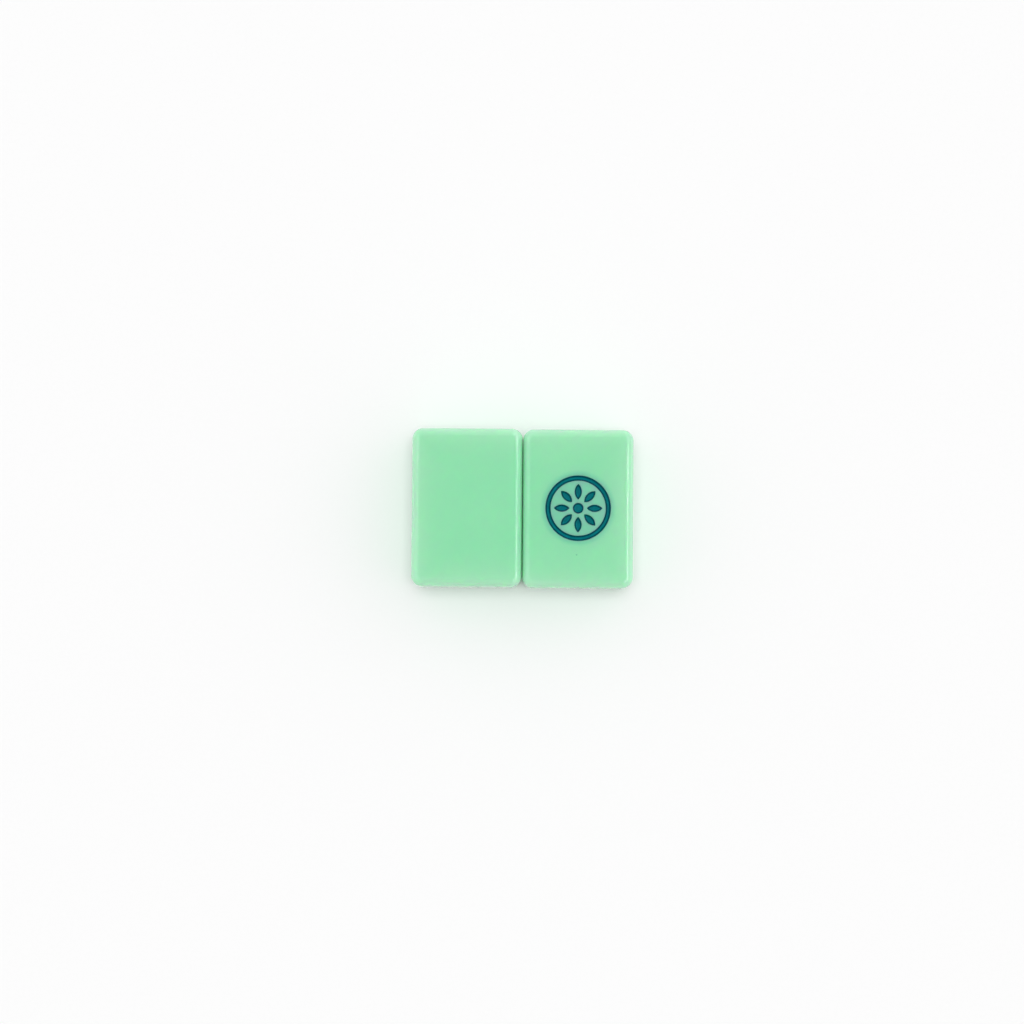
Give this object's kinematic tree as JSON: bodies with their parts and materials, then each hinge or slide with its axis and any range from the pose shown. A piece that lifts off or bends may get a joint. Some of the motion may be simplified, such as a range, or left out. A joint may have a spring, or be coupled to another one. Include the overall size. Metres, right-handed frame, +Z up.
{
  "type": "mahjong tile",
  "caption": "Loose mahjong tiles side by side, face down and face up: rounded translucent blocks with a carved, paint-lined circle figure on the face.",
  "frame": {"origin": "on the table, under the middle of the box around both tiles", "axes": "+X across the pair, from the face-down tile to the face-up tile; +Y along the tiles' long sides, away from the viewer; +Z up"},
  "size_m": [0.0446, 0.0318, 0.0127],
  "materials": {
    "tile_resin": "polished, faintly translucent mint resin",
    "figure_paint": "dark teal paint in the engraved cuts"
  },
  "bodies": {
    "face_down_tile": {"face_down_block": "tile_resin", "face_down_ring_paint": "figure_paint", "face_down_petal_paint": "figure_paint", "face_down_dot_paint": "figure_paint"},
    "face_up_tile": {"face_up_block": "tile_resin", "face_up_ring_paint": "figure_paint", "face_up_petal_paint": "figure_paint", "face_up_dot_paint": "figure_paint"}
  },
  "joints": [
    {"name": "tile_slide", "type": "slide", "parent": "face_down_tile", "child": "face_up_tile", "axis": [1, 0, 0], "range_m": [0, 0.04]}
  ]
}
